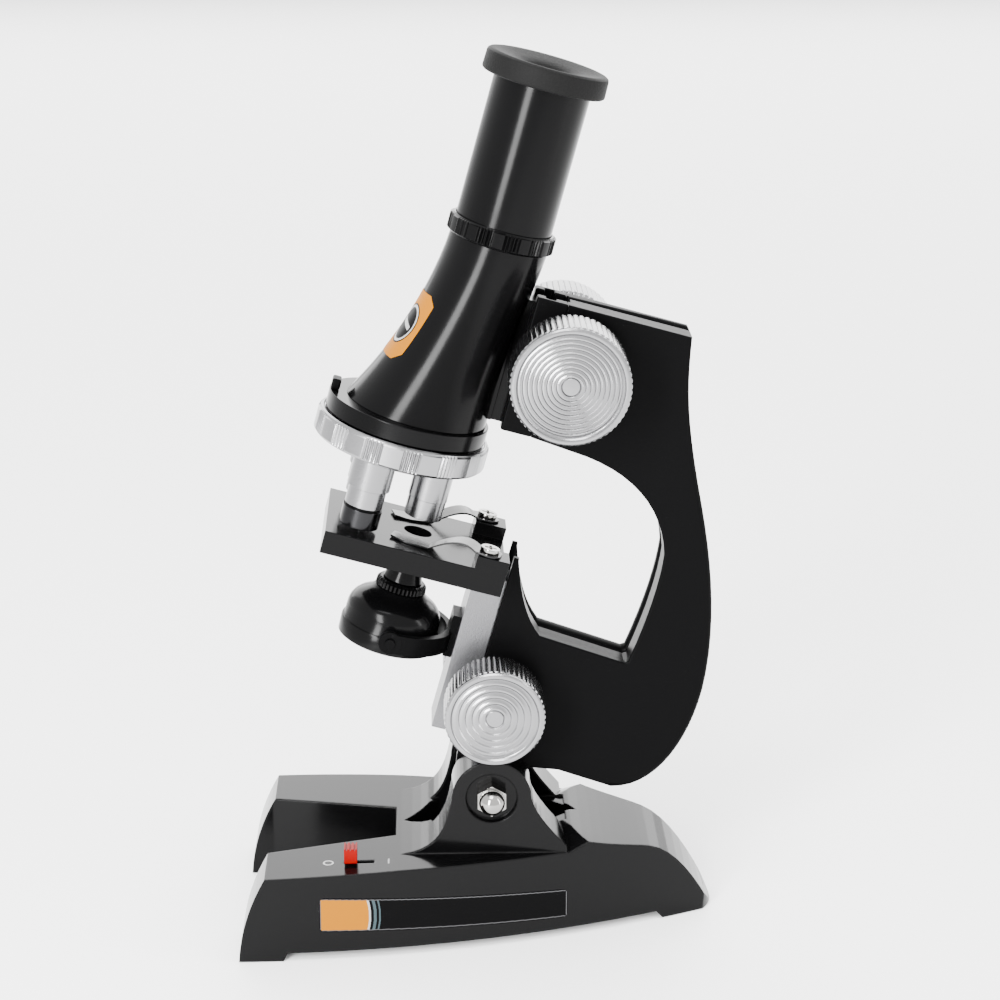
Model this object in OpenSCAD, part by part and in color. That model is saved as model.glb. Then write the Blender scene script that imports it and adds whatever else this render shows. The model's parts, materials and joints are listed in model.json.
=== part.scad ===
// Student microscope on a forked base.
// The arm tilts on a bolt between two ears of the base.  Everything above the
// bolt is drawn in the arm's own frame: u runs back, w runs up the optical
// axis, and both are measured from the tilt bolt.  +X is the right-hand side.

/* [Base] */
// Lean of the arm away from upright, degrees
tilt = 15.4; // [0:0.1:18]
// Length of the base, front to back
base_len = 120; // [116:1:124]
// Half width of the base at the front
base_half = 33; // [31:0.5:34]
// Height of the two front prongs
prong_h = 21.4; // [20:0.1:23]
// Wall thickness of the mouldings
wall = 2; // [1.5:0.1:2.2]
// Distance of the tilt bolt behind the base centre
bolt_y = 2.8; // [1:0.1:4]
// Height of the tilt bolt
bolt_z = 37; // [36:0.5:39]
// Half width of the arm
arm_half = 7; // [6.8:0.1:7.2]

/* [Optics] */
// Distance of the optical axis in front of the bolt
axis_u = 34; // [33:0.1:35]
// Height of the body tube's top
tube_top = 132.3; // [131:0.1:134]
// Radius of the eyepiece tube
eye_r = 11.75; // [11.5:0.05:12]
// Height of the eyecup's rim
cup_top = 176.5; // [170:0.5:180]
// Radius of the revolving disc
disc_r = 21.5; // [21:0.1:22]
// Radius of the circle that the objectives stand on
objective_circle = 10.2; // [10:0.1:10.5]
// Height of the revolving disc's lower face
disc_w = 76.3; // [76:0.1:77]

/* [Stage] */
// Height of the stage's top face
stage_w = 56.7; // [56:0.1:57]
// Width of the stage
stage_width = 35; // [34:0.5:36]
// Thickness of the stage
stage_t = 5.7; // [5:0.1:6]
// Radius of the light hole
hole_r = 3.5; // [3:0.1:4]

/* [Knobs] */
// Radius of the focus knobs
focus_r = 14.5; // [14:0.1:15]
// Radius of the stage knobs
stage_knob_r = 12.5; // [12:0.1:13]
// Teeth on each pinion
teeth = 10; // [10:1:10]
// Module of the gear teeth
gear_m = 0.8; // [0.8:0.05:0.8]

/* [Hidden] */
$fn = 64;

eps = 0.01;
far = 200;
front_y = -base_len / 2;
rear_y = base_len / 2;
side_r = 275;                     // radius of the base's bowed sides in plan
side_lean = 1.5;                  // lean of the sides over prong_h
side_y = front_y + 2;             // where the sides are furthest apart
tail_r = 12.6;                    // radius of the rounded tail
foot_h = 2;                       // height of the recess between the feet
plate_t = 1.6;                    // bottom plate
ear_in = arm_half + 0.6;          // inner face of each ear
ear_out = 19.5;                   // outer face of each ear
ear_r = 9.9;                      // top round of each ear
bolt_r = 2;                       // M4 tilt bolt
cell_r = 5.25;                    // AAA cell
cell_len = 44.5;
cell_y = -17;                     // front end of the cells
cell_z = foot_h + plate_t + cell_r + 0.4;
notch_y = -21.3;                  // inner end of the fork
pitch_r = gear_m * teeth / 2;
gear_pitch = PI * gear_m;
tooth_add = 0.65;                 // tooth height above the pitch line
tooth_ded = 0.9;                  // tooth depth below the pitch line
shaft_r = 2;
run = 0.05;                       // radial clearance of every running fit
focus_u = -10.65;
focus_w = 108.2;
focus_face = 26.4;
focus_t = 14.1;
slide_knob_u = -5.35;
slide_knob_w = 22.1;
slide_face = 23.7;
slide_t = 12;
head_front = -14.3;               // front face of the arm's head
head_low = 89;
head_top = 123;
post_front = -9.9;                // front face of the arm's lower post
post_top = 58.3;
guide_front = -22;
disc_u = -44.2;                   // axis of the revolving disc
disc_t = 6.5;
cover_w = disc_w + disc_t + 0.2;
cover_t = 4.2;
cover_r = 20;
tube_low = cover_w + cover_t;
tube_r = 12;
lamp_u = -34.5;
lamp_w = 31.9;
clip_x = 14;
clip_u = -17;
block_h = 3.25;                   // raised pads at the back of the stage
label_t = 0.2;

// ---------------------------------------------------------------- frames
module arm_frame() translate([0, bolt_y, bolt_z]) rotate([-tilt, 0, 0]) children();
// Cylinder along X, from x0 to x1, at (u, w)
module rod_x(r, x0, x1, u, w) translate([x0, u, w]) rotate([0, 90, 0]) cylinder(r = r, h = x1 - x0);
// Extrude a (y, z) outline along X
module along_x(x0, x1) translate([x0, 0, 0]) rotate([90, 0, 90]) linear_extrude(x1 - x0) children();
module block(x0, x1, y0, y1, z0, z1) translate([x0, y0, z0]) cube([x1 - x0, y1 - y0, z1 - z0]);

// ---------------------------------------------------------------- curves
// Point on a cubic curve with end points a and d and handles b and c
function curve_at(a, b, c, d, t) =
    pow(1 - t, 3) * a + 3 * t * pow(1 - t, 2) * b + 3 * t * t * (1 - t) * c + t * t * t * d;
function curve(a, b, c, d, n = 8) = [for (i = [0 : n - 1]) curve_at(a, b, c, d, i / n)];
function arc(cx, cy, r, a0, a1, n = 12) =
    [for (i = [0 : n]) let (a = a0 + (a1 - a0) * i / n) [cx + r * cos(a), cy + r * sin(a)]];

// ---------------------------------------------------------------- base
// Side view of the base: bull-nosed toe, flat prongs, falling tail
deck_h = prong_h + 0.8;
function toe_curve(in) = concat(
    curve([front_y + in, 0], [front_y + 0.5 + in, 8], [front_y + 3 + in, 15],
          [front_y + 6.7 + in, prong_h - in]),
    curve([front_y + 6.7 + in, prong_h - in], [-40, prong_h + 0.4 - in], [-30, prong_h + 0.6 - in],
          [-20, deck_h - in], 3));
function tail_curve(up) = concat(
    curve([23.1, 21.9 + up], [30, 19 + up], [38, 18 + up], [43, 16.6 + up]),
    curve([43, 16.6 + up], [50, 14.5 + up], [56, 8], [rear_y, 0]));
function base_side(in = 0) = concat([[front_y + in, -eps]], toe_curve(in),
    [[-20, deck_h - in], [20, deck_h - in]], tail_curve(-in), [[rear_y, -eps]]);
function tail_side(up) = concat([[14, 5], [14, deck_h + up], [20, deck_h + up]],
    tail_curve(up), [[rear_y, -eps], [30, -eps]]);
function ear_side() = concat(
    [[-20, 5]],
    curve([-20, prong_h + 0.8], [-10, prong_h + 2], [-8.5, 30], [bolt_y - ear_r, bolt_z], 10),
    arc(bolt_y, bolt_z, ear_r, 180, 0, 24),
    curve([bolt_y + ear_r, bolt_z], [bolt_y + ear_r + 1, 32], [19, 27], [23.1, 21.9], 8),
    [[23.1, 5]]);
// Plan of the base as a tall solid: two bowed sides and a round tail, sides leaning in
module base_plan(in = 0) {
    side_x = side_r - base_half;
    intersection() {
        translate([-side_x, side_y, 0]) cone_side(in);
        translate([side_x, side_y, 0]) cone_side(in);
        union() {
            block(-far, far, front_y, rear_y - tail_r, -1, 60);
            translate([0, rear_y - tail_r, -1]) cylinder(r = tail_r - in, h = 61);
        }
    }
}
module cone_side(in) translate([0, 0, -eps])
    cylinder(r1 = side_r - in, r2 = side_r - in - side_lean * 60 / prong_h, h = 60, $fn = 240);

module fork_notch(grow = 0) linear_extrude(40) polygon([
    [-16.4 - grow, front_y - 1], [16.4 + grow, front_y - 1], [16.4 + grow, front_y + 6],
    [8.4 + grow, notch_y + grow], [-8.4 - grow, notch_y + grow], [-16.4 - grow, front_y + 6]]);

module crown(up, r) intersection() {
    along_x(-30, 30) polygon(tail_side(up));
    translate([0, 23.1, 21.9 + up - r]) rotate([-75, 0, 0]) translate([0, 0, -60])
        cylinder(r = r, h = 120, $fn = 128);
}

module base_solid(in = 0) intersection() {
    base_plan(in);
    along_x(-40, 40) polygon(base_side(in));
}

module base_shell() color([0.04, 0.04, 0.045]) difference() {
    union() {
        difference() {
            union() {
                base_solid();
                intersection() {
                    base_plan();
                    crown(3.6, 42);
                }
                intersection() {
                    base_plan();
                    along_x(-ear_out, ear_out) polygon(ear_side());
                }
            }
            translate([0, 0, -1]) fork_notch();
            // slot for the arm, with a V-shaped mouth at each end
            block(-ear_in, ear_in, -14, 22, 25, 60);
            for (s = [-1, 1]) translate([0, bolt_y, 0]) scale([1, s, 1])
                translate([0, 13, 20]) linear_extrude(40)
                    polygon([[-ear_in, -5], [ear_in, -5], [ear_in, 0], [0, 9], [-ear_in, 0]]);
            // open underside
            difference() {
                intersection() {
                    base_solid(wall);
                    block(-far, far, front_y + wall, far, -1, 20.4);
                }
                translate([0, 0, -2]) fork_notch(wall);
                block(ear_out + 0.4, 30, -38.5, -22.5, 17, 30);
                block(-ear_in - 2, ear_in + 2, -16, 26, 18.4, 30);
            }
            for (s = [-1, 1]) block(s * 13.5 - 3.6, s * 13.5 + 3.6, -4, 9.6, 19, 30);
            // switch slot
            block(22.4, 24, -34, -26.5, 15, 30);
        }
        screw_posts(2.6);
    }
    // recess between the feet
    along_x(-40, 40) polygon([[-49.5, -1], [-48, foot_h], [45, foot_h], [47.5, -1]]);
    for (p = base_screw_at) translate([p[0], p[1], -1]) cylinder(r = 1.1, h = 12);
    rod_x(bolt_r + run, -far, far, bolt_y, bolt_z);
    for (s = [-1, 1]) rod_x(6.4, s * (ear_out - 0.75) - 0.75, s * (ear_out - 0.75) + 0.76, bolt_y, bolt_z);
}
// Base screws: [x, y, height of the post's root]
base_screw_at = [[-24, -40, 20.6], [24, -40, 20.6], [-9, 41, 15.5], [9, 41, 15.5]];
module screw_posts(r) for (p = base_screw_at)
    translate([p[0], p[1], foot_h + plate_t]) cylinder(r = r, h = p[2] - foot_h - plate_t);

module plate_outline() intersection() {
    difference() {
        base_plan(wall + 0.15);
        translate([0, 0, -2]) fork_notch(wall + 0.15);
    }
    block(-far, far, front_y + wall + 2, rear_y - wall - 2.5, foot_h, foot_h + plate_t);
}
door_x = 13;
door_y0 = -18.2;
door_y1 = 32;
module bottom_plate() color([0.06, 0.06, 0.06]) difference() {
    plate_outline();
    block(-door_x, door_x, door_y0, door_y1, 0, 5);
    for (p = base_screw_at) translate([p[0], p[1], 0]) cylinder(r = 1.25, h = 6);
    for (p = base_screw_at) translate([p[0], p[1], foot_h - 1]) cylinder(r = 2.2, h = 1.8);
}
module battery_door() color([0.08, 0.08, 0.08]) difference() {
    block(-door_x + 0.15, door_x - 0.15, door_y0 + 0.15, door_y1 - 0.15, foot_h, foot_h + plate_t);
    for (i = [0 : 3]) block(-5, 5, 20 + 2 * i, 21 + 2 * i, foot_h - 1, foot_h + 0.5);
}
module base_screws() color("silver") for (p = base_screw_at) translate([p[0], p[1], 0]) difference() {
    union() {
        translate([0, 0, foot_h]) cylinder(r = 2, h = 0.8);
        translate([0, 0, foot_h]) cylinder(r = 1.1, h = 8);
    }
    block(-1.3, 1.3, -0.25, 0.25, foot_h - 1, foot_h + 0.5);
    block(-0.25, 0.25, -1.3, 1.3, foot_h - 1, foot_h + 0.5);
}
module cell(s) translate([s * (cell_r + 0.3), cell_y, cell_z]) rotate([-90, 0, 0]) {
    color("orange") cylinder(r = cell_r, h = cell_len - 1);
    color("silver") translate([0, 0, s > 0 ? cell_len - 1 : -1]) cylinder(r = 1.9, h = 1);
}
module battery_1() cell(1);
module battery_2() cell(-1);
module battery_contacts() color("gold") {
    block(-11, 11, cell_y + cell_len + 0.1, cell_y + cell_len + 0.5, foot_h + plate_t, 14);
    for (s = [-1, 1]) block(s * 5.6 - 4.6, s * 5.6 + 4.6, cell_y - 1.5, cell_y - 1.1, foot_h + plate_t, 14);
}

switch_x = 23.2;
switch_y = -32.3;
module switch_housing() color([0.1, 0.1, 0.1])
    difference() {
        block(ear_out + 1, 26, -36.5, -24.5, 14, 16.9);
        block(switch_x - 0.75, switch_x + 0.75, -34.2, -26.4, 15.2, 20);
    }
module switch_slider() color([0.85, 0.08, 0.05]) {
    block(switch_x - 0.6, switch_x + 0.6, switch_y - 1.5, switch_y + 1.5, 15.4, 24.2);
    difference() {
        block(switch_x - 2, switch_x + 2, switch_y - 1.6, switch_y + 1.6, 22.6, 26.4);
        for (i = [-1 : 1]) block(switch_x - 3, switch_x + 3, switch_y + i - 0.2, switch_y + i + 0.2, 26, 27);
    }
}

module pivot_bolt() color("silver") {
    rod_x(bolt_r, -ear_out - 1, ear_out + 1, bolt_y, bolt_z);
    rod_x(3.6, -ear_out - 1.5, -ear_out + 1.4, bolt_y, bolt_z);
}
module pivot_nut() color("silver") difference() {
    union() {
        translate([ear_out - 1.4, bolt_y, bolt_z]) rotate([0, 90, 0]) cylinder(r = 4.05, h = 3.2, $fn = 6);
        rod_x(3.3, ear_out + 1.8, ear_out + 2.4, bolt_y, bolt_z);
        intersection() {
            translate([ear_out + 2.4, bolt_y, bolt_z]) sphere(r = 3.2);
            block(ear_out + 2.3, ear_out + 9, -20, 20, 20, 60);
        }
    }
    rod_x(bolt_r, ear_out - 2, ear_out + 1, bolt_y, bolt_z);
}
module pivot_washers() color("silver") for (s = [-1, 1]) difference() {
    rod_x(4.5, s * (arm_half + 0.3) - 0.2, s * (arm_half + 0.3) + 0.2, bolt_y, bolt_z);
    rod_x(bolt_r + run, -far, far, bolt_y, bolt_z);
}
module side_label() color("orange") intersection() {
    difference() {
        translate([-(side_r - base_half), side_y, 0]) cone_side(-label_t);
        translate([-(side_r - base_half), side_y, 0]) cone_side(0);
    }
    along_x(15, 40) polygon(concat(
        arc(-38.4, 14.8, 1.6, 180, 90, 4), [[19, 13.3]], arc(20.2, 11.7, 1.6, 90, 0, 4),
        [[21.8, 6.4]], arc(20.2, 6.4, 1.6, 0, -90, 4), [[-38.4, 7.6]], arc(-38.4, 9.2, 1.6, 270, 180, 4)));
}

// ---------------------------------------------------------------- arm
// Outline of the C-shaped arm in (u, w)
function arm_outline() = concat(
    [[head_front, head_low], [head_front, head_top], [16.5, head_top]],
    curve([16.5, head_top - 0.1], [19, 110], [21, 103], [31.3, 82.5], 10),
    curve([31.3, 82.5], [38.5, 68], [44.3, 52], [45.3, 36.6], 10),
    curve([45.3, 36.6], [46, 20], [40, 5.5], [28, 5], 14),
    [[16, 6.3], [9.2, 5.2]],
    arc(0, 0, 9.2, 20, -180, 20),
    [[post_front, 4], [post_front, post_top], [-8.6, post_top]],
    curve([-8.6, post_top - 0.5], [-6, 50], [-3, 43], [3.5, 38.8], 10),
    [[24, 38.6]],
    curve([24.9, 39.2], [26.6, 52], [26.6, 62], [25.6, 68.6], 8),
    curve([25.6, 68.6], [22, 80], [12, 87.4], [-4, 88.1], 12));

module arm_half_shell(s) {
    x0 = s > 0 ? 0 : -arm_half;
    x1 = s > 0 ? arm_half : 0;
    cx0 = s > 0 ? -1 : -arm_half + wall;
    cx1 = s > 0 ? arm_half - wall : 1;
    difference() {
        union() {
            along_x(x0, x1) polygon(arm_outline());
            rod_x(6.8, s > 0 ? 1 : -focus_face + focus_t + 0.4, s > 0 ? focus_face - focus_t - 0.4 : -1,
                  focus_u + 3.2, focus_w);
            rod_x(6.5, s > 0 ? 1 : -slide_face + slide_t + 0.4, s > 0 ? slide_face - slide_t - 0.4 : -1,
                  slide_knob_u + 3, slide_knob_w);
        }
        // hollow inside, leaving bosses round the shafts, the bolt and the screws
        difference() {
            along_x(cx0, cx1) intersection() {
                offset(delta = -wall) polygon(arm_outline());
                union() {
                    translate([-6.85, 9.4]) square([80, 50]);
                    translate([head_front + wall, 59]) square([80, 80]);
                }
            }
            for (p = arm_screw_at) rod_x(2.6, -9, 9, p[0], p[1]);
        }
        // channel of the stage slide
        block(-5.35, 5.35, post_front - 1, -6.8, -20, 80);
        block(-6.15, 6.15, -8.35, -6.85, -20, 80);
        // mouth for the focus pinion, and a groove for the rack's teeth
        block(-3.4, 3.4, head_front - 1, head_front + wall + 1, focus_w - 7, focus_w + 7);
        block(-3.4, 3.4, head_front - 1, head_front + 0.6, 80, 130);
        rod_x(shaft_r + run, -far, far, focus_u, focus_w);
        rod_x(shaft_r + run, -far, far, slide_knob_u, slide_knob_w);
        rod_x(bolt_r + run, -far, far, 0, 0);
        rod_x(5.4, -5, 5, focus_u, focus_w);
        rod_x(5.4, -5, 5, slide_knob_u, slide_knob_w);
        for (p = arm_screw_at) rod_x(1.1, -arm_half - 1, 4.5, p[0], p[1]);
        for (p = arm_screw_at) rod_x(2.2, -arm_half - 1, -arm_half + 1.2, p[0], p[1]);
    }
}
arm_screw_at = [[8, 105], [33, 60], [34, 20], [6, 24]];
module arm_shell_right() color([0.05, 0.05, 0.05]) arm_frame() arm_half_shell(1);
module arm_shell_left() color([0.05, 0.05, 0.05]) arm_frame() arm_half_shell(-1);
module arm_screws() color("silver") arm_frame() for (p = arm_screw_at) difference() {
    union() {
        rod_x(2, -arm_half + 0.2, -arm_half + 1.2, p[0], p[1]);
        rod_x(1.1, -arm_half + 0.2, 4.4, p[0], p[1]);
    }
    translate([-arm_half, p[0], p[1]]) block(-1, 0.7, -1.3, 1.3, -0.25, 0.25);
    translate([-arm_half, p[0], p[1]]) block(-1, 0.7, -0.25, 0.25, -1.3, 1.3);
}
rail_u0 = -24.6;
module tube_guide() color([0.05, 0.05, 0.05]) arm_frame() difference() {
    block(-arm_half, arm_half, guide_front, head_front, head_low, head_top);
    block(-3.2, 3.2, guide_front - 1, head_front + 1, 80, 130);
    block(-5.6, 5.6, -19.65, -17.35, 80, 130);
}

// ---------------------------------------------------------------- gears
function tooth(half_tip, half_root) = [
    [-half_root, -tooth_ded], [-half_tip, tooth_add], [half_tip, tooth_add], [half_root, -tooth_ded]];
module pinion(u, w) translate([-3, u, w]) rotate([90, 0, 90]) difference() {
    union() {
        cylinder(r = pitch_r - tooth_ded + 0.1, h = 6);
        for (i = [0 : teeth - 1]) rotate([0, 0, 180 + i * 360 / teeth]) translate([pitch_r, 0, 0])
            rotate([0, 0, -90]) linear_extrude(6) polygon(tooth(0.25, 0.68));
    }
    translate([0, 0, -1]) cylinder(r = shaft_r, h = 8);
}
// Row of rack teeth that point back (+u) from pitch line u, between w0 and w1, in mesh at w_mesh
module rack(u, w_mesh, w0, w1)
    for (i = [ceil((w0 - w_mesh) / gear_pitch) : floor((w1 - w_mesh) / gear_pitch) - 1])
    translate([-3, u, w_mesh + (i + 0.5) * gear_pitch]) rotate([90, 0, 90]) linear_extrude(6)
        rotate(-90) polygon(tooth(0.28, 0.75));

// ---------------------------------------------------------------- knobs
module shaft(u, w, face) rod_x(shaft_r, -face + 3, face - 3, u, w);
module knob(s, r, face, t, u, w) {
    x0 = s > 0 ? face - t : -face;
    difference() {
        rod_x(r, x0, x0 + t, u, w);
        // shallow dish in the outer face
        rod_x(r - 1.6, s > 0 ? face - 0.6 : -face - 1, s > 0 ? face + 1 : -face + 0.6, u, w);
        rod_x(shaft_r, s > 0 ? x0 - 1 : -face + 3, s > 0 ? face - 3 : x0 + t + 1, u, w);
    }
}
module focus_shaft() color("silver") arm_frame() shaft(focus_u, focus_w, focus_face);
module focus_pinion() color("white") arm_frame() pinion(focus_u, focus_w);
module focus_knob_right() color("silver") arm_frame()
    knob(1, focus_r, focus_face, focus_t, focus_u, focus_w);
module focus_knob_left() color("silver") arm_frame()
    knob(-1, focus_r, focus_face, focus_t, focus_u, focus_w);
module stage_shaft() color("silver") arm_frame() shaft(slide_knob_u, slide_knob_w, slide_face);
module stage_pinion() color("white") arm_frame() pinion(slide_knob_u, slide_knob_w);
module stage_knob_right() color("silver") arm_frame()
    knob(1, stage_knob_r, slide_face, slide_t, slide_knob_u, slide_knob_w);
module stage_knob_left() color("silver") arm_frame()
    knob(-1, stage_knob_r, slide_face, slide_t, slide_knob_u, slide_knob_w);

// ---------------------------------------------------------------- body tube
// Flared tube: the ring at height fraction t has this radius and centre
flare_r = 5.5;
flare_u = 8.5;
function tube_radius(t) = tube_r + flare_r * pow(1 - t, 2.6);
function tube_centre(t) = -axis_u - flare_u * pow(1 - t, 1.38);
tube_sides = 56;
tube_rings = 16;
function ring_point(t, k, more) = let (a = 360 * k / tube_sides) [
    (tube_radius(t) + more) * cos(a),
    tube_centre(t) + (tube_radius(t) + more) * sin(a),
    tube_low + (tube_top - tube_low) * t];
module flared_tube(more = 0) {
    points = [for (j = [0 : tube_rings]) for (k = [0 : tube_sides - 1])
        ring_point(pow(j / tube_rings, 1.4), k, more)];
    sides = [for (j = [0 : tube_rings - 1]) for (k = [0 : tube_sides - 1]) let (
        a = j * tube_sides + k, b = j * tube_sides + (k + 1) % tube_sides) each [
        [a, a + tube_sides, b + tube_sides], [a, b + tube_sides, b]]];
    polyhedron(points, concat(sides,
        [[for (k = [0 : tube_sides - 1]) k]],
        [[for (k = [tube_sides - 1 : -1 : 0]) tube_rings * tube_sides + k]]));
}
module body_tube() color([0.03, 0.03, 0.03]) arm_frame() difference() {
    union() {
        flared_tube();
        block(-4, 4, rail_u0 - 7, rail_u0, 90, 121);
    }
    translate([0, -axis_u, tube_low - 1]) cylinder(r = 7, h = 60);
    translate([0, -axis_u, tube_top - 14]) cylinder(r = 10.4 + run, h = 20);
}
module tube_rack() color([0.05, 0.05, 0.05]) arm_frame() {
    rack_line = focus_u - pitch_r;
    difference() {
        block(-3.05, 3.05, rail_u0, rack_line - tooth_ded + 0.1, 90, 121);
        flared_tube();
    }
    block(-5.45, 5.45, -19.5, -17.5, 90, 121);
    rack(rack_line, focus_w, 90, 121);
}
module nosepiece_cover() color([0.03, 0.03, 0.03]) arm_frame() difference() {
    translate([0, disc_u, cover_w]) cylinder(r = cover_r, h = cover_t);
    translate([0, -axis_u, cover_w - 1]) cylinder(r = 5, h = 9);
    translate([0, disc_u, cover_w - 1]) cylinder(r = 1.5, h = 9);
}
module click_housing() color([0.1, 0.1, 0.1]) arm_frame()
    block(-2.2, 2.2, disc_u - cover_r + 0.2, disc_u - tube_r - flare_r - 0.1, tube_low, tube_low + 2.6);
module nosepiece_screw() color("silver") arm_frame() difference() {
    union() {
        translate([0, disc_u, disc_w - 1.2]) cylinder(r = 3, h = 1.2);
        translate([0, disc_u, disc_w - 1.2]) cylinder(r = 1.5, h = disc_t + cover_t + 1.3);
    }
    translate([0, disc_u, disc_w]) block(-2, 2, -0.3, 0.3, -2, -0.7);
}
module tube_label() color("orange") arm_frame() intersection() {
    difference() {
        flared_tube(label_t);
        flared_tube();
    }
    translate([0, -axis_u, 108]) rotate([0, 0, -76]) rotate([0, 90, 0]) translate([0, 0, 5])
        linear_extrude(30) polygon([[-8.5, -4], [-6.5, -6.5], [6.5, -6.5], [8.5, -4],
                                    [8.5, 4], [6.5, 6.5], [-6.5, 6.5], [-8.5, 4]]);
}

// ---------------------------------------------------------------- eyepiece
cup_t = 5.3;
module knurled_ring() color([0.06, 0.06, 0.06]) arm_frame()
    translate([0, -axis_u, tube_top + 0.05]) difference() {
    cylinder(r = 13.1, h = 4.5);
    translate([0, 0, -1]) cylinder(r = eye_r + run, h = 8);
}
module eyepiece_tube() color([0.03, 0.03, 0.03]) arm_frame() translate([0, -axis_u, 0]) difference() {
    union() {
        translate([0, 0, tube_top + 0.05]) cylinder(r = eye_r, h = cup_top - cup_t - tube_top - 0.05);
        translate([0, 0, tube_top - 13]) cylinder(r = 10.4, h = 13.1);
    }
    translate([0, 0, tube_top - 14]) cylinder(r = 8.6, h = 60);
}
module eyecup() color([0.05, 0.05, 0.05]) arm_frame() translate([0, -axis_u, cup_top]) difference() {
    union() {
        translate([0, 0, -cup_t]) cylinder(r = 14.95, h = cup_t - 0.8);
        translate([0, 0, -0.8]) cylinder(r1 = 14.95, r2 = 14.2, h = 0.8);
        translate([0, 0, -cup_t - 4]) cylinder(r = 8.6, h = 5);
    }
    translate([0, 0, -20]) cylinder(r = 5, h = 40);
    translate([0, 0, -2]) cylinder(r1 = 5, r2 = 9, h = 2.01);
}
// Round lens with one bulging face
module lens(r, t) {
    cylinder(r = r, h = t);
    translate([0, 0, t]) intersection() {
        translate([0, 0, 0.9 - 3 * r]) sphere(r = 3 * r, $fn = 128);
        cylinder(r = r - 0.6, h = 3);
    }
}
module eye_lens() color([0.7, 0.85, 0.95, 0.5]) arm_frame()
    translate([0, -axis_u, cup_top - cup_t - 7.5]) lens(8.6, 1.6);
module field_lens() color([0.7, 0.85, 0.95, 0.5]) arm_frame()
    translate([0, -axis_u, tube_top - 12]) lens(8.6, 1.6);
module lens_retainer() color([0.1, 0.1, 0.1]) arm_frame()
    translate([0, -axis_u, tube_top - 8]) difference() {
    cylinder(r = 8.6, h = 2);
    translate([0, 0, -1]) cylinder(r = 6.5, h = 4);
}

// ---------------------------------------------------------------- nosepiece
// Turret angles, counted from the optical axis; the short objective is in use
long_angle = 240;
medium_angle = 120;
short_angle = 0;
module at_seat(a) translate([0, disc_u, 0]) rotate([0, 0, a]) translate([0, objective_circle, 0]) children();
module nosepiece_disc() color("silver") arm_frame() difference() {
    translate([0, disc_u, disc_w]) cylinder(r = disc_r, h = disc_t, $fn = 96);
    translate([0, disc_u, disc_w - 1]) cylinder(r = 1.5 + run, h = 9);
    translate([0, disc_u, disc_w + 2]) difference() {
        cylinder(r = 19.2, h = 9);
        translate([0, 0, -1]) cylinder(r = 3, h = 9);
        for (a = [long_angle, medium_angle, short_angle]) rotate([0, 0, a]) translate([0, objective_circle, -1])
            cylinder(r = 5.4, h = 9);
    }
    for (a = [long_angle, medium_angle, short_angle]) at_seat(a)
        translate([0, 0, disc_w - 1]) cylinder(r = 3.6, h = 9);
}
// Turned objective: steps are [height of the lower end, radius]
module objective(a, steps) at_seat(a) difference() {
    union() {
        translate([0, 0, disc_w]) cylinder(r = 3.6, h = 4);
        for (i = [0 : len(steps) - 1]) let (top = i == 0 ? disc_w : steps[i - 1][0])
            translate([0, 0, steps[i][0]]) cylinder(r = steps[i][1], h = top - steps[i][0]);
    }
    translate([0, 0, 40]) cylinder(r = 2, h = 60);
}
long_steps = [[67.6, 5.3], [62.9, 4.7], [62.3, 4.45], [57.7, 4.9]];
medium_steps = [[67.6, 5.2], [63.6, 4.7], [60.4, 4.4]];
short_steps = [[66, 4.9], [61.1, 4.75]];
module objective_long() color("silver") arm_frame() objective(long_angle, long_steps);
module objective_medium() color("silver") arm_frame() objective(medium_angle, medium_steps);
module objective_short() color("silver") arm_frame() objective(short_angle, short_steps);
module objective_lenses() color([0.7, 0.85, 0.95, 0.5]) arm_frame() {
    at_seat(long_angle) translate([0, 0, 58.4]) cylinder(r = 2, h = 1.2);
    at_seat(medium_angle) translate([0, 0, 61.1]) cylinder(r = 2, h = 1.2);
    at_seat(short_angle) translate([0, 0, 61.8]) cylinder(r = 2, h = 1.2);
}

// ---------------------------------------------------------------- stage
stage_front = -57;
stage_back = -11.8;
slide_front = -18;
slide_low = 9.5;
module stage_plate() color([0.03, 0.03, 0.03]) arm_frame() difference() {
    union() {
        block(-stage_width / 2, stage_width / 2, stage_front, stage_back, stage_w - stage_t, stage_w);
        for (s = [-1, 1]) block(s * 13.5 - 4, s * 13.5 + 4, stage_back - 8, stage_back, stage_w - 1, stage_w + block_h);
    }
    translate([0, -axis_u, 40]) cylinder(r = hole_r, h = 40);
    for (s = [-1, 1]) translate([s * clip_x, clip_u, stage_w - 3]) cylinder(r = 1.2, h = 12);
}
module stage_slide() color([0.8, 0.8, 0.8]) arm_frame() {
    low = slide_low;
    high = stage_w - stage_t;
    back = slide_knob_u - pitch_r - tooth_ded;
    block(-6, 6, slide_front, back + 0.1, low, high);
    for (s = [-1, 1]) {
        block(s * 4.7 - 0.5, s * 4.7 + 0.5, back, -7.5, low, high);
        block(s * 5.1 - 0.9, s * 5.1 + 0.9, -8.2, -7.5, low, high);
    }
    rack(slide_knob_u - pitch_r, slide_knob_w, low, high);
}
module clip_screws() color("silver") arm_frame()
    for (s = [-1, 1]) translate([s * clip_x, clip_u, 0]) difference() {
    union() {
        translate([0, 0, stage_w + block_h + 0.65]) cylinder(r = 2.4, h = 1.1);
        translate([0, 0, stage_w - 2]) cylinder(r = 1.2, h = block_h + 3);
    }
    block(-1.5, 1.5, -0.3, 0.3, stage_w + block_h + 1.2, stage_w + 9);
    block(-0.3, 0.3, -1.5, 1.5, stage_w + block_h + 1.2, stage_w + 9);
}
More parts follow.
